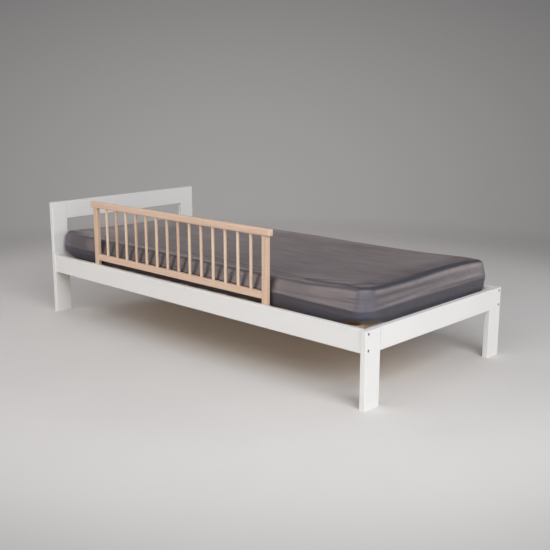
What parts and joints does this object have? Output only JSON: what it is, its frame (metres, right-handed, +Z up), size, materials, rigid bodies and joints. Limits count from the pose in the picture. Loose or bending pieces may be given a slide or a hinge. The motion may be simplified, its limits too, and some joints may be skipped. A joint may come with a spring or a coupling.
{
  "type": "toddler bed",
  "caption": "Low single bed of white-painted boards with a slatted base, a mattress in a dark fitted sheet, and a spindled guard rail on one side.",
  "frame": {"origin": "on the floor, under the middle of the bed", "axes": "+X along the bed to its foot end, +Y across to the side without the guard rail, +Z up; left and right in node names are as seen from the foot end, so left is -Y, the guard rail's side"},
  "size_m": [2.06, 0.96, 0.614],
  "materials": {
    "white_paint": "satin",
    "pine": "matte",
    "beech": "satin",
    "dowel_wood": "matte",
    "zinc_steel": "satin",
    "arm_steel": "satin",
    "mattress_cover": "matte",
    "sheet_fabric": "satin"
  },
  "bodies": {
    "frame": {"head_post_left": "white_paint", "head_post_right": "white_paint", "headboard_rail": "white_paint", "head_cross_rail": "white_paint", "foot_post_left": "white_paint", "foot_post_right": "white_paint", "foot_rail": "white_paint", "side_rail_left": "white_paint", "side_rail_right": "white_paint", "slat_ledge_left": "pine", "slat_ledge_right": "pine", "slat_1": "pine", "slat_2": "pine", "slat_3": "pine", "slat_4": "pine", "slat_5": "pine", "slat_6": "pine", "slat_7": "pine", "slat_8": "pine", "slat_9": "pine", "slat_10": "pine", "slat_11": "pine", "slat_12": "pine", "slat_13": "pine", "slat_14": "pine", "slat_15": "pine", "frame_dowels": "dowel_wood", "corner_dowels": "dowel_wood", "frame_bolts": "zinc_steel", "barrel_nuts": "zinc_steel", "ledge_screws": "zinc_steel", "slat_screws": "zinc_steel"},
    "guard": {"guard_top_rail": "beech", "guard_bottom_rail": "beech", "guard_post_head": "beech", "guard_post_foot": "beech", "guard_dowels": "dowel_wood", "guard_arm_head": "arm_steel", "guard_arm_foot": "arm_steel", "guard_arm_screws": "zinc_steel", "guard_spindle_1": "beech", "guard_spindle_2": "beech", "guard_spindle_3": "beech", "guard_spindle_4": "beech", "guard_spindle_5": "beech", "guard_spindle_6": "beech", "guard_spindle_7": "beech", "guard_spindle_8": "beech", "guard_spindle_9": "beech", "guard_spindle_10": "beech", "guard_spindle_11": "beech", "guard_spindle_12": "beech", "guard_spindle_13": "beech", "guard_spindle_14": "beech"},
    "mattress": {"mattress_core": "mattress_cover", "fitted_sheet": "sheet_fabric"}
  },
  "joints": [
    {"name": "guard_lift", "type": "slide", "parent": "frame", "child": "guard", "axis": [0, 0, 1], "range_m": [0, 0.35]},
    {"name": "mattress_lift", "type": "slide", "parent": "guard", "child": "mattress", "axis": [0, 0, 1], "range_m": [0, 0.3]}
  ]
}
